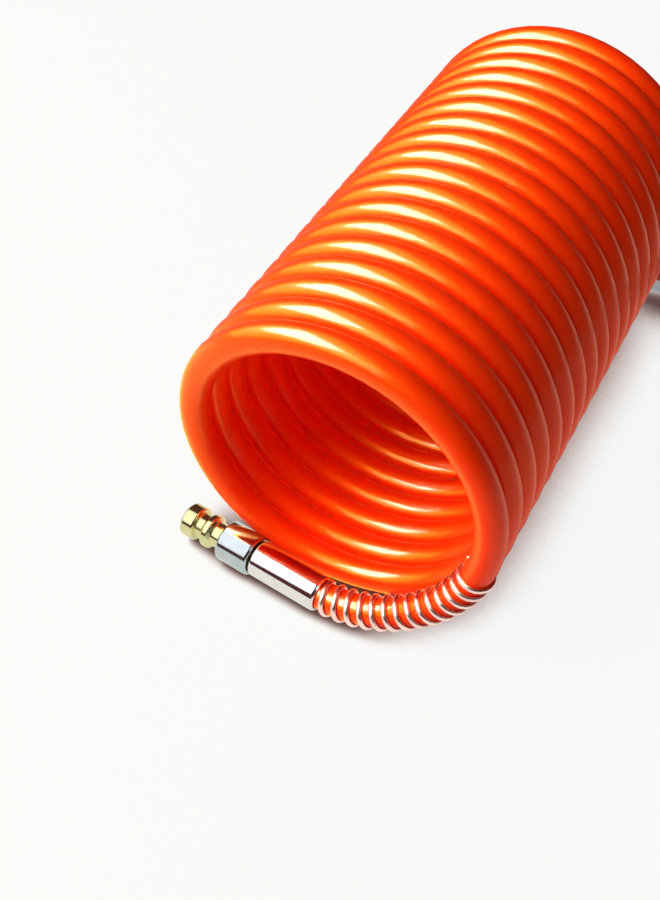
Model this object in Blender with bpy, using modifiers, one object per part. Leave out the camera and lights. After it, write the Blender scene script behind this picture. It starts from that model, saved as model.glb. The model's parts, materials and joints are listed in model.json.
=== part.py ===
"""Recoil air hose: a close-wound coil of 10 mm polyurethane tube with a swivel plug and a swivel coupler.

The coil lies on its side with its axis along +Y and its near end at the front.
Lengths are in millimetres inside this file and are turned into metres by the MM factor.
"""
import math

import bmesh
import bpy
from mathutils import Matrix, Vector

MM = 0.001

# ---------------------------------------------------------------- driving dimensions
HOSE_RADIUS = 5.0
TAIL_RADIUS = 4.8            # the tails' solids keep clear of the wire that wraps them
HOSE_BORE = 3.5
COIL_RADIUS = 52.42          # of the hose's centreline
COIL_PITCH = 10.9
TURNS = 18
COIL_X = -28.29              # the coil's axis and front, from the centre of the whole part
COIL_Y = -101.77
FIRST_RING = 2               # turns shown by rings; the tails stand for the half turns at the ends
LAST_RING = TURNS - 1

INSERT_DEPTH = 24.0          # how far the hose goes into its ferrule
NEAR_LEAN = math.radians(7.8)     # the plug leans back towards the coil
NEAR_SIDE = -4.4             # the near tail steps forward of the first turn
NEAR_HEIGHT = 7.4            # height of the plug's axis above the floor
NEAR_SPAN = math.radians(80)      # arc over which the near tail leaves the true helix
FAR_RUN = 20.0               # straight hose between the coil and the far ferrule
FAR_SIDE = 6.5
FAR_HEIGHT = 12.4
FAR_SPAN = math.radians(130)

GUARD_WIRE = 0.45
GUARD_RADIUS = 5.85
GUARD_TURNS = 14.2
NEAR_GUARD_ARC = math.radians(75)
GUARD_LENGTH = COIL_RADIUS * NEAR_GUARD_ARC

GAP = 0.3                    # between touching pieces
SLEEVE_LENGTH = 27.0
SLEEVE_RADIUS = 6.4
COLLAR_START = 27.4
COLLAR_END = 40.5
COLLAR_RADIUS = 7.3
NOSE_END = 57.0
NOSE_RADIUS = 6.1

BODY_START = 46.5
BODY_END = 94.0
BODY_RADIUS = 8.8
BODY_BORE = 6.5
BODY_SHOULDER = 62.0
BALL_Z = 84.0
BALL_RADIUS = 1.5
BALL_ORBIT = 7.35
BALL_COUNT = 4
LOCK_RADIUS = 12.2
LOCK_START = 62.3
LOCK_END = 91.2

ROUND = 20                   # facets round a turned piece
TURN_LENGTH = math.hypot(2 * math.pi * COIL_RADIUS, COIL_PITCH)
COIL_LENGTH = TURNS * TURN_LENGTH
HOSE_LENGTH = INSERT_DEPTH + COIL_LENGTH + FAR_RUN + INSERT_DEPTH

# ---------------------------------------------------------------- scene and materials
for old in list(bpy.data.objects):
    bpy.data.objects.remove(old, do_unlink=True)

PARTS = bpy.data.collections.new("coiled_air_hose")
CUTTERS = bpy.data.collections.new("cutters")
bpy.context.scene.collection.children.link(PARTS)
bpy.context.scene.collection.children.link(CUTTERS)


def material(name, color, roughness, metallic):
    mat = bpy.data.materials.new(name)
    mat.use_nodes = True
    shader = mat.node_tree.nodes["Principled BSDF"]
    shader.inputs["Base Color"].default_value = (*color, 1)
    shader.inputs["Roughness"].default_value = roughness
    shader.inputs["Metallic"].default_value = metallic
    mat.diffuse_color = (*color, 1)
    return mat


ORANGE = material("orange_polyurethane", (0.95, 0.16, 0.01), 0.2, 0)
CHROME = material("polished_chrome", (0.80, 0.82, 0.84), 0.1, 1)
ZINC = material("yellow_zinc", (0.80, 0.70, 0.38), 0.25, 1)
SPRING_STEEL = material("spring_steel", (0.72, 0.72, 0.74), 0.2, 1)
BRASS = material("brass", (0.78, 0.60, 0.28), 0.3, 1)
RUBBER = material("black_rubber", (0.03, 0.03, 0.03), 0.6, 0)
NYLON = material("white_nylon", (0.85, 0.85, 0.82), 0.5, 0)


# ---------------------------------------------------------------- the hose's centreline
def ease_out(angle, span, start, slope):
    """A cubic that begins at start with the given slope and has faded away at span."""
    if angle >= span:
        return 0.0
    t = angle / span
    return start * (2 * t**3 - 3 * t**2 + 1) + slope * span * (t**3 - 2 * t**2 + t)


def coil_point(turned):
    """The helix, wound from the bottom by way of +X, with its two ends led to the fittings."""
    left = 2 * math.pi * TURNS - turned
    rise = COIL_PITCH / (2 * math.pi)
    near_slope = -COIL_RADIUS * math.tan(NEAR_LEAN) - rise
    y = rise * turned
    y += ease_out(turned, NEAR_SPAN, NEAR_SIDE, near_slope)
    y += ease_out(left, FAR_SPAN, FAR_SIDE, rise)
    z = HOSE_RADIUS + COIL_RADIUS * (1 - math.cos(turned))
    z += ease_out(turned, NEAR_SPAN, NEAR_HEIGHT - HOSE_RADIUS, 0)
    z += ease_out(left, FAR_SPAN, FAR_HEIGHT - HOSE_RADIUS, 0)
    return Vector((COIL_X + COIL_RADIUS * math.sin(turned), COIL_Y + y, z))


NEAR_AXIS = Vector((-math.cos(NEAR_LEAN), math.sin(NEAR_LEAN), 0))
FAR_AXIS = Vector((1, 0, 0))
NEAR_MOUTH = coil_point(0)
COIL_END = coil_point(2 * math.pi * TURNS)
FAR_MOUTH = COIL_END + FAR_RUN * FAR_AXIS


def hose_point(along):
    """The centreline at a distance along the hose from its near end."""
    if along < INSERT_DEPTH:
        return NEAR_MOUTH + (INSERT_DEPTH - along) * NEAR_AXIS
    wound = along - INSERT_DEPTH
    if wound <= COIL_LENGTH:
        return coil_point(2 * math.pi * wound / TURN_LENGTH)
    return COIL_END + (wound - COIL_LENGTH) * FAR_AXIS


# ---------------------------------------------------------------- builders
def link(obj, mat, parent=None):
    PARTS.objects.link(obj)
    obj.data.materials.append(mat)
    obj.parent = parent
    return obj


def smooth(mesh):
    mesh.shade_smooth()
    mesh.set_sharp_from_angle(angle=math.radians(35))


def profile_mesh(name, points, closed):
    """Straight edges through (radius, height) points, in millimetres."""
    mesh = bpy.data.meshes.new(name)
    count = len(points)
    edges = [(i, i + 1) for i in range(count - 1)]
    if closed:
        edges.append((count - 1, 0))
    mesh.from_pydata([(r * MM, 0, h * MM) for r, h in points], edges, [])
    return mesh


def add_screw(obj, steps):
    turn = obj.modifiers.new("turn", "SCREW")
    turn.axis = "Z"
    turn.steps = steps
    turn.render_steps = steps
    turn.use_merge_vertices = True
    turn.merge_threshold = 1e-5
    turn.use_smooth_shade = False


def turned(name, outer, inner, mat, parent, steps=ROUND):
    """A turned tube: its outer side from the front down, then its bore from the back up."""
    obj = bpy.data.objects.new(name, profile_mesh(name, outer + inner, closed=True))
    link(obj, mat, parent)
    add_screw(obj, steps)
    return obj


def turned_solid(name, outer, steps=ROUND):
    """A turned solid, from the axis at the front to the axis at the back."""
    points = [(0, outer[0][1])] + outer + [(0, outer[-1][1])]
    obj = bpy.data.objects.new(name, profile_mesh(name, points, closed=False))
    add_screw(obj, steps)
    return obj


def prism(name, flats, low, high):
    """A hexagonal bar along Z, given its size across flats."""
    mesh = bpy.data.meshes.new(name)
    shape = bmesh.new()
    corner = flats / 2 / math.cos(math.pi / 6) * MM
    depth = (high - low) * MM
    middle = Matrix.Translation((0, 0, (high + low) / 2 * MM))
    bmesh.ops.create_cone(shape, cap_ends=True, segments=6, radius1=corner, radius2=corner,
                          depth=depth, matrix=middle)
    shape.to_mesh(mesh)
    shape.free()
    return bpy.data.objects.new(name, mesh)


def combine(obj, tool, operation, parent=None):
    CUTTERS.objects.link(tool)
    tool.parent = parent
    tool.hide_render = True
    tool.display_type = "WIRE"
    change = obj.modifiers.new(operation.lower(), "BOOLEAN")
    change.operation = operation
    change.object = tool


def wire_curve(name, points, radius, resolution):
    curve = bpy.data.curves.new(name, "CURVE")
    curve.dimensions = "3D"
    curve.bevel_depth = radius * MM
    curve.bevel_resolution = resolution
    curve.use_fill_caps = True
    spline = curve.splines.new("POLY")
    spline.points.add(len(points) - 1)
    for spot, point in zip(spline.points, points):
        spot.co = (*(Vector(point) * MM), 1)
    return bpy.data.objects.new(name, curve)


def straight_spring(name, radius, wire, low, high, turns, mat, parent):
    """A compression spring along Z."""
    count = round(turns * 12)
    points = []
    for i in range(count + 1):
        angle = 2 * math.pi * turns * i / count
        height = low + wire + (high - low - 2 * wire) * i / count
        points.append((radius * math.cos(angle), radius * math.sin(angle), height))
    return link(wire_curve(name, points, wire, 1), mat, parent)


def ring(name, radius, section, at, mat, parent, steps=16, sides=6):
    """An O-ring about Z."""
    points = []
    for i in range(sides):
        angle = -2 * math.pi * i / sides
        points.append((radius + section * math.cos(angle), at + section * math.sin(angle)))
    obj = bpy.data.objects.new(name, profile_mesh(name, points, closed=True))
    link(obj, mat, parent)
    add_screw(obj, steps)
    return obj


def empty(name, place, direction, parent=None):
    """An empty whose Z axis points along a fitting, away from the hose."""
    frame = bpy.data.objects.new(name, None)
    PARTS.objects.link(frame)
    frame.empty_display_size = 0.01
    frame.parent = parent
    frame.location = place * MM
    frame.rotation_euler = direction.to_track_quat("Z", "Y").to_euler()
    return frame


# ---------------------------------------------------------------- hose
def tail(name, start, end, mouth, axis):
    """A length of hose with a blind bore over the stem it is pushed on."""
    steps = round((end - start) / 7)
    points = [hose_point(start + (end - start) * i / steps) for i in range(steps + 1)]
    rough = wire_curve(name + "_curve", points, TAIL_RADIUS, 2)
    CUTTERS.objects.link(rough)
    graph = bpy.context.evaluated_depsgraph_get()
    mesh = bpy.data.meshes.new_from_object(rough.evaluated_get(graph))
    shape = bmesh.new()
    shape.from_mesh(mesh)
    bmesh.ops.remove_doubles(shape, verts=shape.verts, dist=1e-6)
    bmesh.ops.recalc_face_normals(shape, faces=shape.faces)
    shape.to_mesh(mesh)
    shape.free()
    bpy.data.objects.remove(rough)
    mesh.name = name
    mesh.materials.clear()
    obj = link(bpy.data.objects.new(name, mesh), ORANGE)
    bore = turned_solid(name + "_bore", [(HOSE_BORE, INSERT_DEPTH + 1), (HOSE_BORE, 2.4)], 16)
    bore.location = mouth * MM
    bore.rotation_euler = axis.to_track_quat("Z", "Y").to_euler()
    combine(obj, bore, "DIFFERENCE")
    return obj


def coil_rings():
    """One ring for each full turn between the tails, all sharing a mesh."""
    mesh = None
    for number in range(FIRST_RING, LAST_RING + 1):
        name = f"coil_turn_{number:02d}"
        if mesh is None:
            bpy.ops.mesh.primitive_torus_add(major_segments=20, minor_segments=8,
                                             major_radius=COIL_RADIUS * MM,
                                             minor_radius=HOSE_RADIUS * MM,
                                             location=(0, 0, 0))
            first = bpy.context.object
            mesh = first.data
            mesh.name = "coil_turn"
            mesh.materials.append(ORANGE)
            smooth(mesh)
            bpy.data.objects.remove(first)
        obj = bpy.data.objects.new(name, mesh)
        PARTS.objects.link(obj)
        obj.rotation_euler = (math.pi / 2, 0, 0)
        obj.location = Vector((COIL_X, COIL_Y + (number - 0.5) * COIL_PITCH,
                               HOSE_RADIUS + COIL_RADIUS)) * MM


def guard(name, start, end):
    """A wire helix wound round a stretch of the hose."""
    count = round(GUARD_TURNS * 10)
    side = Vector((0, 1, 0))
    points = []
    for i in range(count + 1):
        along = start + (end - start) * i / count
        centre = hose_point(along)
        heading = (hose_point(along + 0.5) - hose_point(along - 0.5)).normalized()
        across = (side - side.dot(heading) * heading).normalized()
        up = heading.cross(across)
        angle = 2 * math.pi * GUARD_TURNS * i / count
        offset = math.cos(angle) * across + math.sin(angle) * up
        points.append(centre + GUARD_RADIUS * offset)
    return link(wire_curve(name, points, GUARD_WIRE, 1), SPRING_STEEL)


# ---------------------------------------------------------------- parts that both ends share
def ferrule_sleeve(name, parent):
    outer = [(5.9, SLEEVE_LENGTH), (SLEEVE_RADIUS, SLEEVE_LENGTH - 0.5), (SLEEVE_RADIUS, 0.5), (5.9, 0)]
    inner = [(5.3, 0), (5.3, SLEEVE_LENGTH)]
    turned(name, outer, inner, CHROME, parent)


def hose_stem(name, parent):
    """The barbed stem that the hose is pushed on, with the socket that the swivel turns in."""
    outer = [(5.35, 33.6), (5.35, 27.5), (4.9, 27.2), (4.9, INSERT_DEPTH + 0.4), (2.8, INSERT_DEPTH + 0.4)]
    for barb in range(3):
        root = 19.5 - 5.5 * barb
        outer += [(2.8, root), (3.2, root), (2.7, root - 4.5)]
    outer += [(2.5, 3.0)]
    inner = [(2.0, 3.0), (2.0, 28.8), (3.95, 28.8), (3.95, 33.6)]
    turned(name, outer, inner, BRASS, parent)


def swivel_collar(name, parent):
    outer = [(6.7, COLLAR_END), (COLLAR_RADIUS, COLLAR_END - 0.6),
             (COLLAR_RADIUS, COLLAR_START + 0.5), (6.8, COLLAR_START)]
    inner = [(5.8, COLLAR_START), (5.8, 37.4), (4.95, 37.4), (4.95, COLLAR_END)]
    turned(name, outer, inner, CHROME, parent)


def swivel_washer(name, parent):
    turned(name, [(5.5, 37.1), (5.5, 36.4)], [(4.95, 36.4), (4.95, 37.1)], NYLON, parent)


# Spigot, O-ring groove and flange of a piece that swivels in the stem, from the neck backwards.
SWIVEL_TAIL = [(4.6, 36.0), (5.4, 36.0), (5.4, 34.2), (3.1, 34.2), (3.1, 32.7), (2.55, 32.7),
               (2.55, 31.0), (3.1, 31.0), (3.1, 29.6)]


def near_end():
    end = empty("near_end", NEAR_MOUTH, NEAR_AXIS)
    ferrule_sleeve("near_ferrule_sleeve", end)
    hose_stem("near_hose_stem", end)
    swivel_collar("near_swivel_collar", end)
    swivel_washer("near_swivel_washer", end)
    outer = [(5.5, NOSE_END), (NOSE_RADIUS, NOSE_END - 0.6), (NOSE_RADIUS, 52.1), (5.7, 51.6), (4.6, 51.6),
             (4.6, 48.6), (5.6, 48.2), (NOSE_RADIUS, 47.6), (NOSE_RADIUS, 45.6), (4.5, 44.6)]
    inner = [(2.0, 29.6), (2.0, 46.0), (3.2, 48.0), (3.2, NOSE_END)]
    turned("plug_nipple", outer + SWIVEL_TAIL, inner, ZINC, end)
    ring("near_o_ring", 3.25, 0.45, 31.85, RUBBER, end)


# ---------------------------------------------------------------- coupler
def coupler_body(parent):
    """The valve body: hexagon, shoulder, spring seat, ball holes and the mouth that takes a plug."""
    outer = [(8.2, BODY_END), (BODY_RADIUS, BODY_END - 0.6), (BODY_RADIUS, 92.9), (8.2, 92.9), (8.2, 91.4),
             (BODY_RADIUS, 91.4), (BODY_RADIUS, BODY_SHOULDER), (10.2, BODY_SHOULDER),
             (10.2, BODY_SHOULDER - 4), (9.0, BODY_SHOULDER - 4.6), (9.0, BODY_START)]
    body = turned_solid("coupler_body", outer)
    link(body, CHROME, parent)
    combine(body, prism("body_hexagon", 19, BODY_START + 0.6, BODY_SHOULDER - 5), "UNION", parent)
    bore = [(7.4, BODY_END + 1), (7.4, BODY_END), (BODY_BORE, BODY_END - 0.8), (BODY_BORE, 80.2),
            (7.5, 80.2), (7.5, 77.2), (BODY_BORE, 77.2), (BODY_BORE, 75), (4.7, 75), (4.7, 72), (6.8, 72),
            (6.8, 54.6), (6.0, 54.6), (6.0, BODY_START - 1)]
    combine(body, turned_solid("body_bore", bore), "DIFFERENCE", parent)
    for number in range(BALL_COUNT):
        hole = turned_solid(f"ball_hole_{number + 1}", [(1.85, 10), (1.85, 7.7), (1.4, BODY_BORE - 0.1),
                                                        (1.4, 5.5)], 12)
        hole.location = (0, 0, BALL_Z * MM)
        hole.rotation_euler = (0, math.pi / 2, 2 * math.pi * number / BALL_COUNT)
        combine(body, hole, "DIFFERENCE", parent)


def coupler_tail(parent):
    """The threaded tail that swivels in the far stem and screws into the valve body."""
    outer = [(5.2, 54.2), (5.65, 53.7), (5.65, 45.0), (6.6, 45.0), (6.6, 41.2), (4.6, 41.2)]
    tail_obj = bpy.data.objects.new("coupler_tail", profile_mesh("coupler_tail", outer + SWIVEL_TAIL + [
        (2.0, 29.6), (2.0, 46.0), (3.0, 48.0), (3.0, 54.2)], closed=True))
    link(tail_obj, BRASS, parent)
    add_screw(tail_obj, ROUND)
    nut = prism("tail_hexagon", 14, 41.6, 44.7)
    hole = turned_solid("tail_hexagon_bore", [(5.0, 46), (5.0, 40)])
    combine(nut, hole, "DIFFERENCE", parent)
    combine(tail_obj, nut, "UNION", parent)


def valve(parent):
    """The poppet that a plug pushes open, its face seal and its spring."""
    outer = [(3.6, 79.8), (4.3, 79.2), (4.3, 70.4), (5.9, 70.4), (5.9, 68.3), (2.2, 68.3), (2.2, 60)]
    poppet = turned_solid("valve_poppet", outer)
    link(poppet, BRASS, parent)
    combine(poppet, turned_solid("poppet_bore", [(2.9, 81), (2.9, 72.8)], 16), "DIFFERENCE", parent)
    for number in range(2):
        port = turned_solid(f"poppet_port_{number + 1}", [(1.3, 6), (1.3, -6)], 12)
        port.location = (0, 0, 74.6 * MM)
        port.rotation_euler = (0, math.pi / 2, math.pi / 2 * number)
        combine(poppet, port, "DIFFERENCE", parent)
    turned("valve_seal", [(5.7, 71.7), (5.7, 70.7)], [(4.6, 70.7), (4.6, 71.7)], RUBBER, parent)
    straight_spring("valve_spring", 4.4, 0.4, 54.5, 68.0, 6, SPRING_STEEL, parent)


def locking_sleeve(parent):
    """The outer sleeve: a land over the balls at rest, and a cone that frees them when it is drawn back."""
    outer = [(11.4, LOCK_END), (LOCK_RADIUS, LOCK_END - 0.8), (LOCK_RADIUS, 84), (11.5, 83.2), (11.5, 71),
             (LOCK_RADIUS, 70.2), (LOCK_RADIUS, LOCK_START + 0.8), (11.6, LOCK_START)]
    inner = [(10.8, LOCK_START), (10.8, 80), (9.1, 80), (9.1, 84.3), (10.1, 88.3), (10.1, 89.6), (9.3, 89.9),
             (9.3, LOCK_END)]
    turned("locking_sleeve", outer, inner, CHROME, parent)
    straight_spring("sleeve_spring", 9.85, 0.5, 62.2, 79.8, 5, SPRING_STEEL, parent)


def snap_ring(parent):
    points = []
    steps = 20
    for i in range(steps + 1):
        angle = math.radians(20 + 320 * i / steps)
        points.append((9.25 * math.cos(angle), 9.25 * math.sin(angle), 92.15))
    link(wire_curve("snap_ring", points, 0.55, 1), SPRING_STEEL, parent)


def balls(parent):
    for number in range(BALL_COUNT):
        angle = 2 * math.pi * number / BALL_COUNT
        name = f"locking_ball_{number + 1}"
        mesh = bpy.data.meshes.new(name)
        shape = bmesh.new()
        bmesh.ops.create_uvsphere(shape, u_segments=10, v_segments=6, radius=BALL_RADIUS * MM)
        shape.to_mesh(mesh)
        shape.free()
        smooth(mesh)
        ball = link(bpy.data.objects.new(name, mesh), SPRING_STEEL, parent)
        ball.location = Vector((BALL_ORBIT * math.cos(angle), BALL_ORBIT * math.sin(angle), BALL_Z)) * MM


def far_end():
    end = empty("far_end", FAR_MOUTH, FAR_AXIS)
    ferrule_sleeve("far_ferrule_sleeve", end)
    hose_stem("far_hose_stem", end)
    swivel_collar("far_swivel_collar", end)
    swivel_washer("far_swivel_washer", end)
    ring("far_o_ring", 3.25, 0.45, 31.85, RUBBER, end)
    coupler_tail(end)
    turned("tail_gasket", [(7.2, 46.2), (7.2, 45.3)], [(5.95, 45.3), (5.95, 46.2)], RUBBER, end)
    coupler_body(end)
    turned("mouth_seal", [(7.15, 79.9), (7.15, 77.5)], [(6.1, 77.5), (6.1, 79.9)], RUBBER, end)
    valve(end)
    locking_sleeve(end)
    snap_ring(end)
    balls(end)


near_tail_end = INSERT_DEPTH + 0.51 * TURN_LENGTH
far_tail_start = INSERT_DEPTH + COIL_LENGTH - 0.51 * TURN_LENGTH
tail("hose_near_tail", 0, near_tail_end, NEAR_MOUTH, NEAR_AXIS)
coil_rings()
tail("hose_far_tail", far_tail_start, HOSE_LENGTH, FAR_MOUTH, FAR_AXIS)
guard("near_spring_guard", INSERT_DEPTH + 0.8, INSERT_DEPTH + GUARD_LENGTH)
far_guard_end = INSERT_DEPTH + COIL_LENGTH + FAR_RUN - 0.8
guard("far_spring_guard", far_guard_end - GUARD_LENGTH, far_guard_end)
near_end()
far_end()
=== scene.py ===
"""Looks of a coiled air hose with a quick plug on one end and a quick coupler on the other.

The part's own sizes are in millimetres, and MM turns them into metres. Materials, camera, floor and lights
are in metres.
"""
import json
import math

import bmesh
import bpy
from mathutils import Matrix, Vector
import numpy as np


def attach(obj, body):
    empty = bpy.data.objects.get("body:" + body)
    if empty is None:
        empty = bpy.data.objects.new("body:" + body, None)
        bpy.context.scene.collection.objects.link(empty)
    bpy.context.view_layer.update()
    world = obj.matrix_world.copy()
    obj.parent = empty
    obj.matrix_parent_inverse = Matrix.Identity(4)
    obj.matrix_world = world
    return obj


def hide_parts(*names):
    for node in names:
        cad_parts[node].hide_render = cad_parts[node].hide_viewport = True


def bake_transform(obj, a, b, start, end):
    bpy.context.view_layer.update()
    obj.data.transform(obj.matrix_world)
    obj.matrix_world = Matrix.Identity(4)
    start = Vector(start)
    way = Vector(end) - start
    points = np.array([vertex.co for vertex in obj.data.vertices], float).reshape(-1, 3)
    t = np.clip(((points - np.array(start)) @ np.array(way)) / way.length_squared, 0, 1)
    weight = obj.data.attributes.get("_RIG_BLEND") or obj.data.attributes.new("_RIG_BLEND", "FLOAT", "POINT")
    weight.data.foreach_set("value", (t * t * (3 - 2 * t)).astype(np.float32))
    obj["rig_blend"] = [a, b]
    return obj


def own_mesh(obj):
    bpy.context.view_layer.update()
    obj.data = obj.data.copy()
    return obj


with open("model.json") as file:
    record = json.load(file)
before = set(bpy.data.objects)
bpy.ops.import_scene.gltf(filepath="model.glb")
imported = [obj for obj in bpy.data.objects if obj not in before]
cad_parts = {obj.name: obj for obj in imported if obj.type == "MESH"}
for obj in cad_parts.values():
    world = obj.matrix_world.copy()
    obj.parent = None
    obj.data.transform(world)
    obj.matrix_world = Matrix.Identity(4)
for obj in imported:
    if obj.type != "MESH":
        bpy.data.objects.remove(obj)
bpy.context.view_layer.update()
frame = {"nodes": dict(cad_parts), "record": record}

# ---------------------------------------------------------------- sizes, as in the CAD source
MM = 0.001
HOSE_RADIUS = 5.0
HOSE_BORE = 3.5
COIL_RADIUS = 52.42  # of the hose's centreline
COIL_PITCH = 10.9
TURNS = 18
COIL_X = -28.29  # the coil's axis and front, from the centre of the whole part
COIL_Y = -101.77
INSERT_DEPTH = 24.0  # how far the hose goes into its ferrule
NEAR_LEAN = math.radians(7.8)  # the plug leans back towards the coil
NEAR_SIDE = -4.4  # the near tail steps forward of the first turn
NEAR_HEIGHT = 7.4  # height of the plug's axis above the floor
NEAR_SPAN = math.radians(80)  # arc over which the near tail leaves the true helix
FAR_RUN = 20.0  # straight hose between the coil and the far ferrule
FAR_SIDE = 6.5
FAR_HEIGHT = 12.4
FAR_SPAN = math.radians(130)
GUARD_TURNS = 14.2
GUARD_LENGTH = COIL_RADIUS * math.radians(75)
SLEEVE_LENGTH = 27.0
SLEEVE_RADIUS = 6.4
SLEEVE_BORE = 5.3
COLLAR_START = 27.4
COLLAR_END = 40.5
COLLAR_RADIUS = 7.3
COLLAR_BORE = 5.8
COLLAR_LIP = 37.4  # where the lip that holds the swivel's flange begins
LIP_BORE = 4.95
NOSE_END = 57.0
NOSE_RADIUS = 6.1
BODY_START = 46.5
BODY_END = 94.0
BODY_RADIUS = 8.8
BODY_BORE = 6.5
BODY_SHOULDER = 62.0
HEX_FLATS = 19.0
HEX_START = BODY_START + 0.6
HEX_END = BODY_SHOULDER - 5
LOCK_RADIUS = 12.2
LOCK_START = 62.3
LOCK_END = 91.2
TURN_LENGTH = math.hypot(2 * math.pi * COIL_RADIUS, COIL_PITCH)
COIL_LENGTH = TURNS * TURN_LENGTH
HOSE_LENGTH = INSERT_DEPTH + COIL_LENGTH + FAR_RUN + INSERT_DEPTH

# ---------------------------------------------------------------- sizes that are finer here, and counts
BORE_DEPTH = 20.0  # how far into each end of the tube its bore is drawn
TURN_STEPS = 60  # rings of the tube in one turn
HOSE_SIDES = 24
HOSE_REACH = 0.4  # the hose's heading is taken from points this far before and after
NEAR_STOPS = (0.0, 8.0, 16.0)  # rings of the tube before the coil, from the near cut end
FAR_STOPS = (5, 10, 15, 20, 28, 36, 44)  # and after it, from the coil's end
HELD_ANGLE = math.radians(85)  # the stretch of the first and last turn that stays with its ferrule
GUARD_WIRE = 0.68  # half the thickness of the guard's wire, which is an oval
GUARD_BROAD = 1.45  # how many times broader than thick the wire is
GUARD_RADIUS = 5.55
GUARD_GAP = 0.8  # from the ferrule's mouth to the middle of the guard's end
GUARD_STEPS = 20  # rings of wire in one turn
GUARD_REACH = 0.5
WIRE_SIDES = 12
WIRE_END = 0.6  # how thin a wire's ground end is, against the rest
SPRING_STEPS = 24
SPRING_CLEAR = 0.8  # from a spring's seat to its first turn's middle, in wire radii
TURNED_SIDES = 72
BODY_SIDES = 96
CORNER_STEPS = 4
CORNER_SHARE = 0.45  # the most of a profile's side that a rounded corner takes
CHAMFER = 0.7
SLEEVE_FACE = 5.7  # radius of the sleeve's flat ends
FLUTES = 36
FLUTE_DEPTH = 0.35
FLUTE_SIDES = 6  # points round one flute
SNAP_RING_PLACE = 92.15
SNAP_RING_RADIUS = 9.25
SNAP_RING_WIRE = 0.55
SNAP_RING_GAP = 40  # degrees
SNAP_RING_STEPS = 60


# ---------------------------------------------------------------- the hose's centreline
def ease_out(angle, span, start, slope):
    """A cubic that begins at start with the given slope and has faded away at span."""
    if angle >= span:
        return 0.0
    t = angle / span
    return start * (2 * t**3 - 3 * t**2 + 1) + slope * span * (t**3 - 2 * t**2 + t)


def coil_point(turned_by):
    """The helix, wound from the bottom by way of +X, with its two ends led to the fittings."""
    left = 2 * math.pi * TURNS - turned_by
    rise = COIL_PITCH / (2 * math.pi)
    near_slope = -COIL_RADIUS * math.tan(NEAR_LEAN) - rise
    y = rise * turned_by
    y += ease_out(turned_by, NEAR_SPAN, NEAR_SIDE, near_slope)
    y += ease_out(left, FAR_SPAN, FAR_SIDE, rise)
    z = HOSE_RADIUS + COIL_RADIUS * (1 - math.cos(turned_by))
    z += ease_out(turned_by, NEAR_SPAN, NEAR_HEIGHT - HOSE_RADIUS, 0)
    z += ease_out(left, FAR_SPAN, FAR_HEIGHT - HOSE_RADIUS, 0)
    return Vector((COIL_X + COIL_RADIUS * math.sin(turned_by), COIL_Y + y, z))


COIL_AXIS = Vector((0, 1, 0))
NEAR_AXIS = Vector((-math.cos(NEAR_LEAN), math.sin(NEAR_LEAN), 0))
FAR_AXIS = Vector((1, 0, 0))
NEAR_MOUTH = coil_point(0)
COIL_END = coil_point(2 * math.pi * TURNS)
FAR_MOUTH = COIL_END + FAR_RUN * FAR_AXIS


def hose_point(along):
    """A point of the centreline, by its distance along the hose from the near cut end."""
    along -= INSERT_DEPTH
    if along < 0:
        return NEAR_MOUTH - along * NEAR_AXIS
    if along > COIL_LENGTH:
        return COIL_END + (along - COIL_LENGTH) * FAR_AXIS
    return coil_point(along / COIL_LENGTH * 2 * math.pi * TURNS)


def hose_heading(along, reach):
    """Which way the hose runs at a distance along it."""
    return (hose_point(along + reach) - hose_point(along - reach)).normalized()


def fitting_place(mouth, axis):
    """The place of a fitting whose Z axis points out of a ferrule's mouth, away from the hose."""
    return Matrix.Translation(mouth * MM) @ axis.to_track_quat("Z", "Y").to_matrix().to_4x4()


NEAR_PLACE = fitting_place(NEAR_MOUTH, NEAR_AXIS)
FAR_PLACE = fitting_place(FAR_MOUTH, FAR_AXIS)


# ---------------------------------------------------------------- material nodes
def feed(tree, target, source):
    """Joins a socket to another, or sets a number or colour on it."""
    if isinstance(source, bpy.types.NodeSocket):
        tree.links.new(source, target)
    else:
        target.default_value = source


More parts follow.
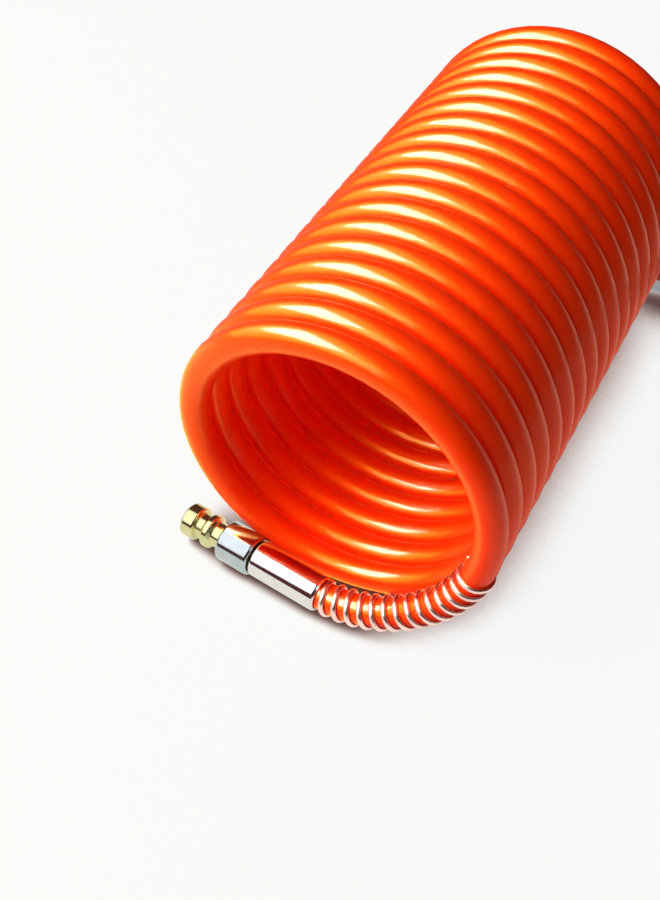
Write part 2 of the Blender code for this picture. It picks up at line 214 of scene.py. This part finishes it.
class Nodes:
    """Builds one material's nodes."""

    def __init__(self, name, **shader):
        self.material = bpy.data.materials.new(name)
        self.material.use_nodes = True
        self.tree = self.material.node_tree
        self.shader = self.tree.nodes["Principled BSDF"]
        self.give(**shader)

    def give(self, **sockets):
        """Feeds the shader's sockets, by their names with _ for each space."""
        for socket, source in sockets.items():
            feed(self.tree, self.shader.inputs[socket.replace("_", " ")], source)
        return self.material

    def add(self, kind, **settings):
        node = self.tree.nodes.new(kind)
        for key, value in settings.items():
            setattr(node, key, value)
        return node

    def place(self, stretch=(1, 1, 1), lay=None):
        """A place on the piece, in metres, stretched; along a hose's own lay where one is named."""
        if lay:
            source = self.add("ShaderNodeAttribute", attribute_name=lay).outputs["Vector"]
        else:
            source = self.add("ShaderNodeTexCoord").outputs["Object"]
        mapping = self.add("ShaderNodeMapping")
        feed(self.tree, mapping.inputs["Vector"], source)
        mapping.inputs["Scale"].default_value = stretch
        return mapping.outputs["Vector"]

    def noise(self, where, scale, detail, rough=0.55):
        node = self.add("ShaderNodeTexNoise")
        feed(self.tree, node.inputs["Vector"], where)
        node.inputs["Scale"].default_value = scale
        node.inputs["Detail"].default_value = detail
        node.inputs["Roughness"].default_value = rough
        return node.outputs["Fac"]

    def span(self, value, low, high, to_low, to_high):
        """Maps a range of values to another range, and keeps it inside."""
        node = self.add("ShaderNodeMapRange")
        feed(self.tree, node.inputs["Value"], value)
        node.inputs["From Min"].default_value = low
        node.inputs["From Max"].default_value = high
        node.inputs["To Min"].default_value = to_low
        node.inputs["To Max"].default_value = to_high
        return node.outputs["Result"]

    def blend(self, amount, one, two):
        node = self.add("ShaderNodeMix", data_type="RGBA")
        for socket, source in (("Factor", amount), ("A", one), ("B", two)):
            feed(self.tree, node.inputs[socket], source)
        return node.outputs["Result"]

    def math(self, kind, one, two):
        node = self.add("ShaderNodeMath", operation=kind)
        feed(self.tree, node.inputs[0], one)
        feed(self.tree, node.inputs[1], two)
        return node.outputs["Value"]

    def bump(self, height, strength, distance):
        node = self.add("ShaderNodeBump")
        feed(self.tree, node.inputs["Height"], height)
        node.inputs["Strength"].default_value = strength
        node.inputs["Distance"].default_value = distance
        return node.outputs["Normal"]


# ---------------------------------------------------------------- materials
ORANGE = (0.96, 0.032, 0.0008, 1)
DEEP_ORANGE = (0.93, 0.025, 0.0006, 1)
RUBBED_ORANGE = (0.95, 0.20, 0.05, 1)
EXTRUSION_LINES = (6, 900, 900)  # stretches of a pattern: along the hose, and twice across it
LONG_SCUFFS = (40, 400, 400)
TOOL_LINES = (500, 500, 6000)  # close together along a fitting's axis
WIRE_GRAIN = (2000, 2000, 2000)


def hose_material():
    """Orange polyurethane: a clear gloss over a softer orange sheen, extrusion lines and rubbed spots."""
    nodes = Nodes("hose_polyurethane", IOR=1.5, Specular_IOR_Level=0.16, Specular_Tint=(1.0, 0.72, 0.02, 1),
                  Coat_Weight=0.5, Coat_Roughness=0.13, Coat_IOR=1.33, Subsurface_Weight=0.6,
                  Subsurface_Radius=(1.0, 0.08, 0.01), Subsurface_Scale=0.005)
    tone = nodes.noise(nodes.place(lay="lay"), scale=60, detail=3)
    lines = nodes.noise(nodes.place(EXTRUSION_LINES, lay="lay"), scale=1.0, detail=3)
    scuffs = nodes.noise(nodes.place(LONG_SCUFFS, lay="lay"), scale=1.0, detail=6, rough=0.7)
    rubbed = nodes.span(scuffs, 0.62, 0.75, 0, 1)
    colour = nodes.blend(nodes.span(tone, 0.35, 0.7, 0, 1), ORANGE, DEEP_ORANGE)
    colour = nodes.blend(nodes.math("MULTIPLY", rubbed, 0.08), colour, RUBBED_ORANGE)
    rough = nodes.math("ADD", nodes.span(tone, 0.3, 0.7, 0.38, 0.46), nodes.math("MULTIPLY", rubbed, 0.12))
    normal = nodes.bump(lines, strength=0.12, distance=0.0002)
    return nodes.give(Base_Color=colour, Roughness=rough, Normal=normal, Coat_Normal=normal)


def metal_material(name, colour, shade, rough, wear, lines=TOOL_LINES):
    """Machined or plated metal: fine tool lines round the axis, and patches that are darker and duller."""
    nodes = Nodes(name, Metallic=1.0)
    scratches = nodes.noise(nodes.place(lines), scale=1.0, detail=3)
    patches = nodes.noise(nodes.place(), scale=180, detail=5)
    mixed = nodes.blend(nodes.span(patches, 0.4, 0.75, 0, 1), colour, shade)
    dull = nodes.span(patches, 0.35, 0.75, rough, rough * wear)
    normal = nodes.bump(scratches, strength=0.05, distance=0.0001)
    return nodes.give(Base_Color=mixed, Roughness=dull, Normal=normal)


def moulded_material(name, colour, shade, rough, grain_scale, strength):
    """Moulded rubber or nylon with a fine grain; rough is the roughness of its low and high spots."""
    nodes = Nodes(name)
    grain = nodes.noise(nodes.place(), scale=grain_scale, detail=4)
    normal = nodes.bump(grain, strength, distance=0.0001)
    return nodes.give(Base_Color=nodes.blend(grain, colour, shade), Normal=normal,
                      Roughness=nodes.span(grain, 0.3, 0.7, *rough))


FINISHES = {
    "hose": hose_material(),
    "polished_chrome": metal_material(
        "polished_chrome", colour=(0.86, 0.87, 0.89, 1), shade=(0.78, 0.79, 0.82, 1), rough=0.05, wear=2.2),
    "yellow_zinc": metal_material(
        "yellow_zinc", colour=(0.76, 0.76, 0.42, 1), shade=(0.66, 0.68, 0.33, 1), rough=0.14, wear=1.8),
    "spring_steel": metal_material(
        "spring_steel", colour=(0.84, 0.80, 0.79, 1), shade=(0.72, 0.67, 0.66, 1), rough=0.22, wear=1.6,
        lines=WIRE_GRAIN),
    "brass": metal_material(
        "brass", colour=(0.78, 0.57, 0.25, 1), shade=(0.62, 0.43, 0.17, 1), rough=0.2, wear=1.8),
    "black_rubber": moulded_material(
        "black_rubber", colour=(0.012, 0.012, 0.013, 1), shade=(0.035, 0.034, 0.034, 1), rough=(0.5, 0.72),
        grain_scale=1500, strength=0.2),
    "white_nylon": moulded_material(
        "white_nylon", colour=(0.78, 0.77, 0.72, 1), shade=(0.86, 0.86, 0.83, 1), rough=(0.35, 0.5),
        grain_scale=900, strength=0.1),
}
BLUE_ZINC = metal_material(
    "blue_zinc", colour=(0.56, 0.64, 0.68, 1), shade=(0.46, 0.55, 0.58, 1), rough=0.1, wear=1.8)


# ---------------------------------------------------------------- mesh helpers
def loft(name, rings, slot, looped=False):
    """A closed skin through rings of points: its last ring joins its first, or both are filled."""
    mesh = bpy.data.meshes.new(name)
    shape = bmesh.new()
    rows = [[shape.verts.new(p) for p in row] for row in rings]
    count = len(rows)
    for i in range(count if looped else count - 1):
        one = rows[i]
        two = rows[(i + 1) % count]
        sides = len(one)
        for j in range(sides):
            k = (j + 1) % sides
            shape.faces.new((one[j], one[k], two[k], two[j]))
    if not looped:
        shape.faces.new(rows[0][::-1])
        shape.faces.new(rows[-1])
    bmesh.ops.recalc_face_normals(shape, faces=shape.faces)
    shape.to_mesh(mesh)
    shape.free()
    mesh.materials.append(FINISHES[slot])
    mesh.shade_smooth()
    obj = bpy.data.objects.new(name, mesh)
    bpy.context.scene.collection.objects.link(obj)
    return obj


def square_to(heading, side=COIL_AXIS):
    """Two directions square to a heading and to each other, the first one nearest to a side."""
    across = (side - side.dot(heading) * heading).normalized()
    return across, heading.cross(across)


def section(centre, heading, radius, sides, side=COIL_AXIS, broad=1.0):
    """A circle of points square to a heading, in metres, or an oval that is broader across the side."""
    across, up = square_to(heading, side)
    points = []
    for j in range(sides):
        angle = 2 * math.pi * j / sides
        points.append((centre + radius * (math.cos(angle) * across + math.sin(angle) * (broad * up))) * MM)
    return points


def wire(name, points, outward, radius, broad=1.0):
    """A steel wire along points, with its narrow way outward and its ends ground smaller."""
    rings = []
    last = len(points) - 1
    for i, point in enumerate(points):
        heading = (points[min(i + 1, last)] - points[max(i - 1, 0)]).normalized()
        end = WIRE_END if i in (0, last) else 1.0
        rings.append(section(point, heading, radius * end, WIRE_SIDES, outward[i], broad))
    return loft(name, rings, "spring_steel")


def rounded(profile, radius):
    """A closed profile of (radius, height) points with each of its corners rounded off."""
    found = []
    count = len(profile)
    for i, here in enumerate(profile):
        here = Vector(here)
        before = Vector(profile[i - 1]) - here
        after = Vector(profile[(i + 1) % count]) - here
        reach = min(radius, CORNER_SHARE * before.length, CORNER_SHARE * after.length)
        start = here + before.normalized() * reach
        end = here + after.normalized() * reach
        for step in range(CORNER_STEPS + 1):
            t = step / CORNER_STEPS
            found.append(start.lerp(here, t).lerp(here.lerp(end, t), t))
    return found


def turned(name, node, body, place, profile, slot, fillet, sides=TURNED_SIDES, shape=None):
    """A profile of (radius, height) points turned about a fitting's axis, to stand for a CAD node.

    The profile is closed, and its heights are from the ferrule's mouth. Shape may change a point's radius.
    """
    rings = []
    for radius, height in rounded(profile, fillet):
        row = []
        for j in range(sides):
            angle = 2 * math.pi * j / sides
            reach = shape(radius, height, angle) if shape else radius
            row.append(Vector((reach * math.cos(angle), reach * math.sin(angle), height)) * MM)
        rings.append(row)
    obj = loft(name, rings, slot, looped=True)
    obj.matrix_world = place
    obj.modifiers.new("even_shading", "WEIGHTED_NORMAL").keep_sharp = True
    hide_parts(node)
    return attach(obj, body)


# ---------------------------------------------------------------- hose
def hose():
    """The whole 6 m tube, with a blind bore over each stem, and the points of its centreline in metres."""
    steps = TURNS * TURN_STEPS
    stops = list(NEAR_STOPS)
    stops += [INSERT_DEPTH + COIL_LENGTH * i / steps for i in range(steps + 1)]
    stops += [INSERT_DEPTH + COIL_LENGTH + further for further in FAR_STOPS]
    rows = [(BORE_DEPTH, HOSE_BORE), (0.0, HOSE_BORE)]
    rows += [(along, HOSE_RADIUS) for along in stops]
    rows += [(HOSE_LENGTH, HOSE_BORE), (HOSE_LENGTH - BORE_DEPTH, HOSE_BORE)]
    rings = []
    lay = []
    weights = []
    for along, radius in rows:
        rings.append(section(hose_point(along), hose_heading(along, HOSE_REACH), radius, HOSE_SIDES))
        turned_by = (along - INSERT_DEPTH) / COIL_LENGTH * 2 * math.pi * TURNS
        share = (turned_by - HELD_ANGLE) / (2 * math.pi * TURNS - 2 * HELD_ANGLE)
        weights += [min(1.0, max(0.0, share))] * HOSE_SIDES
        for j in range(HOSE_SIDES):
            angle = 2 * math.pi * j / HOSE_SIDES
            lay += [along * MM, radius * MM * math.cos(angle), radius * MM * math.sin(angle)]
    obj = loft("hose", rings, "hose")
    mesh = obj.data
    mesh.attributes.new("lay", "FLOAT_VECTOR", "POINT").data.foreach_set("vector", lay)
    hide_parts("hose_near_tail", "hose_far_tail", *[f"coil_turn_{k:02d}" for k in range(2, TURNS)])
    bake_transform(obj, "near_end", "far_end", start=NEAR_MOUTH * MM, end=FAR_MOUTH * MM)
    mesh.attributes["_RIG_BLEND"].data.foreach_set("value", weights)
    return obj, [tuple(hose_point(along) * MM) for along in stops]


HOSE_PIECE, HOSE_LINE = hose()


def guard(name, node, body, start, end):
    """The wire guard wound round a stretch of the hose."""
    count = round(GUARD_TURNS * GUARD_STEPS)
    points = []
    outward = []
    for i in range(count + 1):
        along = start + (end - start) * i / count
        across, up = square_to(hose_heading(along, GUARD_REACH))
        angle = 2 * math.pi * GUARD_TURNS * i / count
        outward.append(math.cos(angle) * across + math.sin(angle) * up)
        points.append(hose_point(along) + GUARD_RADIUS * outward[-1])
    obj = wire(name, points, outward, GUARD_WIRE, GUARD_BROAD)
    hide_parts(node)
    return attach(obj, body)


FAR_FERRULE = INSERT_DEPTH + COIL_LENGTH + FAR_RUN  # how far along the hose the far ferrule's mouth is
NEAR_GUARD = guard("near_guard_wire", "near_spring_guard", "near_end",
                   start=INSERT_DEPTH + GUARD_GAP, end=INSERT_DEPTH + GUARD_LENGTH)
FAR_GUARD = guard("far_guard_wire", "far_spring_guard", "far_end",
                  start=FAR_FERRULE - GUARD_LENGTH, end=FAR_FERRULE - GUARD_GAP)

# ---------------------------------------------------------------- fittings that both ends share
SLEEVE_PROFILE = [(SLEEVE_FACE, SLEEVE_LENGTH), (SLEEVE_RADIUS, SLEEVE_LENGTH - CHAMFER),
                  (SLEEVE_RADIUS, CHAMFER), (SLEEVE_FACE, 0), (SLEEVE_BORE, 0), (SLEEVE_BORE, SLEEVE_LENGTH)]
COLLAR_PROFILE = [(6.6, COLLAR_END), (COLLAR_RADIUS, COLLAR_END - CHAMFER),
                  (COLLAR_RADIUS, COLLAR_START + 0.6), (6.7, COLLAR_START), (COLLAR_BORE, COLLAR_START),
                  (COLLAR_BORE, COLLAR_LIP), (LIP_BORE, COLLAR_LIP), (LIP_BORE, COLLAR_END)]

for end, place in (("near", NEAR_PLACE), ("far", FAR_PLACE)):
    turned(f"{end}_sleeve", f"{end}_ferrule_sleeve", f"{end}_end", place, SLEEVE_PROFILE, "polished_chrome",
           fillet=0.5)
    collar = turned(f"{end}_collar", f"{end}_swivel_collar", f"{end}_end", place, COLLAR_PROFILE,
                    "polished_chrome", fillet=0.4)
    collar.data.materials[0] = BLUE_ZINC  # the collar's plating is bluer than the sleeve's

# ---------------------------------------------------------------- plug
# From the nose back over the ball groove, the bead and the neck, then the flange, the spigot with its O-ring
# groove, and the bore.
PLUG_PROFILE = [(5.4, NOSE_END), (NOSE_RADIUS, NOSE_END - CHAMFER), (NOSE_RADIUS, 52.1), (5.7, 51.6),
                (4.6, 51.6), (4.6, 48.6), (5.6, 48.2), (NOSE_RADIUS, 47.6), (NOSE_RADIUS, 45.6), (4.5, 44.6),
                (4.6, 36.0), (5.4, 36.0), (5.4, 34.2), (3.1, 34.2), (3.1, 32.7), (2.55, 32.7), (2.55, 31.0),
                (3.1, 31.0), (3.1, 29.6), (2.0, 29.6), (2.0, 46.0), (3.2, 48.0), (3.2, NOSE_END)]
turned("plug_turned", "plug_nipple", "plug", NEAR_PLACE, PLUG_PROFILE, "yellow_zinc", fillet=0.3)

# ---------------------------------------------------------------- coupler
# From the mouth back over the snap ring's groove, the long barrel, the shoulder and the hexagon, then the
# valve's chamber, its seat and the socket.
BODY_PROFILE = [(8.0, BODY_END), (BODY_RADIUS, BODY_END - 0.8), (BODY_RADIUS, 92.9), (8.2, 92.9), (8.2, 91.4),
                (BODY_RADIUS, 91.4), (BODY_RADIUS, BODY_SHOULDER), (10.2, BODY_SHOULDER),
                (10.2, BODY_SHOULDER - 4), (9.0, BODY_SHOULDER - 4.6), (9.0, HEX_END + 0.05), (9.6, HEX_END),
                (10.95, HEX_END - 0.9), (10.95, HEX_START + 0.9), (9.6, HEX_START), (9.0, HEX_START - 0.05),
                (8.6, BODY_START), (6.0, BODY_START), (6.0, 54.6), (6.8, 54.6), (6.8, 72), (4.7, 72),
                (4.7, 75), (BODY_BORE, 75), (BODY_BORE, BODY_END - 0.8), (7.4, BODY_END)]
# Two fluted lands with a waist between them, then the bore with the slope that lets the balls out.
LOCK_PROFILE = [(11.2, LOCK_END), (LOCK_RADIUS, LOCK_END - 1), (LOCK_RADIUS, 84), (11.5, 83.2), (11.5, 71),
                (LOCK_RADIUS, 70.2), (LOCK_RADIUS, LOCK_START + 1), (11.4, LOCK_START), (10.8, LOCK_START),
                (10.8, 80), (9.1, 80), (9.1, 84.3), (10.1, 88.3), (10.1, 89.6), (9.3, 89.9), (9.3, LOCK_END)]
HEX_ROUND = 9.2  # inside this radius the body is round all along
LAND_EDGE = LOCK_RADIUS - 0.2  # and the locking sleeve inside this one


def body_shape(radius, height, angle):
    """The body's hexagon, with its corners cut to a cone at each end."""
    if radius < HEX_ROUND or not HEX_START <= height <= HEX_END:
        return radius
    sixth = math.pi / 3
    off = angle % sixth - sixth / 2
    return min(radius, HEX_FLATS / 2 / math.cos(off))


def lock_shape(radius, height, angle):
    """Rounded flutes round both lands of the locking sleeve."""
    if radius < LAND_EDGE:
        return radius
    return radius - FLUTE_DEPTH * (0.5 + 0.5 * math.cos(FLUTES * angle)) ** 2


def coupler_circle(radius, height, angle):
    """A point on a circle round the coupler's axis, in millimetres, and the way outward there."""
    outward = FAR_PLACE.to_3x3() @ Vector((math.cos(angle), math.sin(angle), 0))
    return FAR_PLACE @ Vector((0, 0, height * MM)) / MM + radius * outward, outward


def spring(name, node, radius, wire_radius, low, high, turns):
    """A return spring in the coupler, wound from its low seat to its high one."""
    clear = SPRING_CLEAR * wire_radius
    count = turns * SPRING_STEPS
    circles = []
    for i in range(count + 1):
        height = low + clear + (high - low - 2 * clear) * i / count
        circles.append(coupler_circle(radius, height, 2 * math.pi * turns * i / count))
    points, outward = zip(*circles)
    obj = wire(name, points, outward, wire_radius)
    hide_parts(node)
    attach(obj, "coupler")
    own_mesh(obj)


def snap_ring():
    """The open ring that keeps the locking sleeve on."""
    start = SNAP_RING_GAP / 2
    sweep = 360 - SNAP_RING_GAP
    angles = [math.radians(start + sweep * i / SNAP_RING_STEPS) for i in range(SNAP_RING_STEPS + 1)]
    circles = [coupler_circle(SNAP_RING_RADIUS, SNAP_RING_PLACE, angle) for angle in angles]
    points, outward = zip(*circles)
    obj = wire("snap_ring_wire", points, outward, SNAP_RING_WIRE)
    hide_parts("snap_ring")
    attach(obj, "coupler")


turned("coupler_body_turned", "coupler_body", "coupler", FAR_PLACE, BODY_PROFILE, "polished_chrome",
       fillet=0.25, sides=BODY_SIDES, shape=body_shape)
turned("locking_sleeve_turned", "locking_sleeve", "lock_ring", FAR_PLACE, LOCK_PROFILE, "polished_chrome",
       fillet=0.35, sides=FLUTE_SIDES * FLUTES, shape=lock_shape)
spring("sleeve_spring_wire", "sleeve_spring", radius=9.85, wire_radius=0.5, low=62.25, high=79.75, turns=5)
spring("valve_spring_wire", "valve_spring", radius=4.4, wire_radius=0.4, low=54.6, high=68.0, turns=6)
snap_ring()

# ---------------------------------------------------------------- finishes of the CAD pieces that stay
SLOT_OF = {row["node"]: row["material_slot"] for row in frame["record"]["subparts"]}
for name, node in frame["nodes"].items():
    for holder in node.material_slots:
        holder.link = "OBJECT"
        holder.material = FINISHES[SLOT_OF[name]]

# ---------------------------------------------------------------- camera
CAMERA_PLACE = Vector((0.08750, -0.32086, 0.34327))
CAMERA_AIM = Vector((-0.3150, 0.5997, -0.7356))
CAMERA_LENS = 49.6
camera = bpy.data.objects.new("camera", bpy.data.cameras.new("camera"))
bpy.context.scene.collection.objects.link(camera)
camera.data.lens = CAMERA_LENS
camera.data.clip_start = 0.01
camera.location = CAMERA_PLACE
camera.rotation_euler = CAMERA_AIM.to_track_quat("-Z", "Y").to_euler()
bpy.context.scene.camera = camera

# ---------------------------------------------------------------- floor
FLOOR_SIZE = 6.0
FLOOR_DROP = 0.0002  # keeps the floor just clear of the hose
FLOOR_BOUNCE = 0.56  # the white floor's own light on dull surfaces
PAPER = (0.29, 0.29, 0.287, 1)
PALE_PAPER = (0.31, 0.31, 0.307, 1)
SEEN_PAPER = (0.03, 0.03, 0.03, 1)  # dark, because the camera sees the paper's own light instead
PAPER_LIGHT = (1, 1, 0.985, 1)
PAINTED_SHADE_COLOUR = (0.8, 0.2, 0.13, 1)  # painted shade: a reddish light, as if coloured by the hose, that the camera sees in the narrow shade beside the object
# how far from the object the painted shade on the floor reaches
PAINTED_SHADE_REACH = 0.08


def floor():
    """White paper: the camera sees it evenly lit, as a studio sweep is, but for a painted shade by the
    object, dimmed and reddened where ambient occlusion finds the object close.
    """
    nodes = Nodes("floor_paper", Roughness=0.9, Specular_IOR_Level=0.1)
    path = nodes.add("ShaderNodeLightPath")
    seen = path.outputs["Is Camera Ray"]
    dull = path.outputs["Is Diffuse Ray"]
    near = nodes.add("ShaderNodeAmbientOcclusion", samples=32)
    near.inputs["Distance"].default_value = PAINTED_SHADE_REACH
    # Painted shade: from right beside the object to clear of it, how bright the paper looks to the camera,
    # then how white rather than reddish its light is.
    painted_shade_lift = nodes.span(near.outputs["AO"], 0.32, 0.54, 0.12, 0.92)
    clear = nodes.span(near.outputs["AO"], 0.2, 0.52, 0, 1)
    paper = nodes.blend(nodes.noise(nodes.place(), scale=300, detail=3), PAPER, PALE_PAPER)
    bounce = nodes.math("MULTIPLY", dull, FLOOR_BOUNCE)
    strength = nodes.math("ADD", nodes.math("MULTIPLY", painted_shade_lift, seen), bounce)
    # The paper's light: the painted reddish shade colour beside the object for the camera, white elsewhere
    # and for dull surfaces.
    light = nodes.blend(nodes.math("MAXIMUM", clear, dull), PAINTED_SHADE_COLOUR, PAPER_LIGHT)
    colour = nodes.blend(seen, paper, SEEN_PAPER)
    nodes.give(Base_Color=colour, Emission_Color=light, Emission_Strength=strength)
    mesh = bpy.data.meshes.new("floor")
    half = FLOOR_SIZE / 2
    corners = [(-half, -half, 0), (half, -half, 0), (half, half, 0), (-half, half, 0)]
    mesh.from_pydata(corners, [], [(0, 1, 2, 3)])
    mesh.materials.append(nodes.material)
    obj = bpy.data.objects.new("floor", mesh)
    bpy.context.scene.collection.objects.link(obj)
    obj.location.z = -FLOOR_DROP


# ---------------------------------------------------------------- lights and surroundings
LIGHTS_AIM = Vector((-0.03, -0.038, 0.05))
KEY_TURN = math.radians(-150)  # where the key light stands, round from +X
KEY_RISE = math.radians(45)
KEY_AWAY = 1.0
LAYER = 0.03  # lights in one place hide each other, so they stand a layer apart
ON_FLOOR = 0.0005
FLOOR_LAYER = 0.0001
SKY_LIGHT = (0.06, 0.06, 0.06, 1)  # what the room gives to dull surfaces
SKY_GLOSS = (0.09, 0.026, 0.024, 1)  # what shows of it in reflections
BACKDROP = (0.93, 0.93, 0.915, 1)  # and what the camera sees past the floor


def group_of(name, pieces):
    """Pieces that share a light."""
    group = bpy.data.collections.new(name)
    for piece in pieces:
        group.objects.link(piece)
    return group


WIRES = (NEAR_GUARD, FAR_GUARD)
FITTINGS = [obj for obj in bpy.context.scene.objects
            if obj.type == "MESH" and obj not in (HOSE_PIECE, *WIRES)]
HOSE_GROUP = group_of("hose_group", [HOSE_PIECE])
WIRE_GROUP = group_of("wire_group", WIRES)
METAL_GROUP = group_of("metal_group", FITTINGS)


def softbox(name, size, radiance, colour, place, surfaces="gloss", group=None):
    """A soft light of that radiance, for dull surfaces or for gloss, and for one group or for all."""
    data = bpy.data.lights.new(name, "AREA")
    data.shape = "RECTANGLE"
    data.size, data.size_y = size
    data.energy = radiance * math.pi * size[0] * size[1]
    data.color = colour
    obj = bpy.data.objects.new(name, data)
    bpy.context.scene.collection.objects.link(obj)
    obj.location, obj.rotation_euler = place
    obj.visible_camera = False
    obj.visible_diffuse = surfaces == "dull"
    obj.visible_glossy = surfaces == "gloss"
    if group:
        obj.light_linking.receiver_collection = group


def standing(turn, rise, layer):
    """Round from +X, up from the floor and facing the object, on a layer counted from the key's own."""
    toward = Vector((math.cos(turn) * math.cos(rise), math.sin(turn) * math.cos(rise), math.sin(rise)))
    return LIGHTS_AIM + (KEY_AWAY + layer * LAYER) * toward, (-toward).to_track_quat("-Z", "Y").to_euler()


def lying(x, y, layer):
    """On the floor and facing up, as a part of the floor that shows in a reflection."""
    return (x, y, ON_FLOOR + layer * FLOOR_LAYER), (math.pi, 0, 0)


def lights():
    """The key light on dull surfaces, then what each group of pieces reflects."""
    softbox("key", size=(1.05, 0.80), radiance=8.0, colour=(1, 0.93, 0.78), surfaces="dull",
            place=standing(KEY_TURN, KEY_RISE, layer=0))
    softbox("key_in_metal", size=(1.05, 1.1), radiance=1.4, colour=(1, 1, 1), group=METAL_GROUP,
            place=standing(KEY_TURN, KEY_RISE, layer=-2))
    softbox("key_in_hose", size=(0.9, 0.5), radiance=84.0, colour=(1, 0.85, 0.81), group=HOSE_GROUP,
            place=standing(KEY_TURN, KEY_RISE, layer=-1))
    softbox("halo_in_hose", size=(1.9, 1.6), radiance=14.0, colour=(1, 0.55, 0.03), group=HOSE_GROUP,
            place=standing(KEY_TURN, KEY_RISE, layer=1))
    softbox("side_in_hose", size=(0.5, 0.6), radiance=15.0, colour=(1, 0.72, 0.28), group=HOSE_GROUP,
            place=standing(math.radians(-105), math.radians(38), layer=2))
    softbox("key_in_wire", size=(1.6, 1.2), radiance=3.2, colour=(1, 0.82, 0.66), group=WIRE_GROUP,
            place=standing(KEY_TURN, KEY_RISE, layer=-3))
    softbox("side_in_metal", size=(0.9, 0.5), radiance=1.3, colour=(1, 1, 1), group=METAL_GROUP,
            place=standing(math.radians(5), math.radians(32), layer=0))
    softbox("floor_in_metal", size=(1.6, 1.6), radiance=0.5, colour=(0.95, 1, 0.95), group=METAL_GROUP,
            place=lying(0, 0, layer=0))
    softbox("floor_in_wire", size=(1.6, 1.6), radiance=0.78, colour=(1, 0.72, 0.64), group=WIRE_GROUP,
            place=lying(0, 0, layer=1))
    softbox("floor_in_hose", size=(0.7, 0.7), radiance=3.5, colour=(1, 0.5, 0.05), group=HOSE_GROUP,
            place=lying(-0.36, -0.36, layer=2))
    softbox("right_floor_in_hose", size=(0.6, 1.0), radiance=1.3, colour=(1, 0.42, 0.28), group=HOSE_GROUP,
            place=lying(0.34, 0.2, layer=3))


def surroundings():
    """A plain room: one colour for dull light, one for reflections and one for the camera."""
    world = bpy.data.worlds.new("studio")
    bpy.context.scene.world = world
    world.use_nodes = True
    tree = world.node_tree
    path = tree.nodes.new("ShaderNodeLightPath")
    under = SKY_LIGHT
    for ray, shown in (("Is Glossy Ray", SKY_GLOSS), ("Is Camera Ray", BACKDROP)):
        colour = tree.nodes.new("ShaderNodeMix")
        colour.data_type = "RGBA"
        for socket, source in (("Factor", path.outputs[ray]), ("A", under), ("B", shown)):
            feed(tree, colour.inputs[socket], source)
        under = colour.outputs["Result"]
    feed(tree, tree.nodes["Background"].inputs["Color"], under)


floor()
lights()
surroundings()
bpy.context.scene.view_settings.view_transform = "Standard"
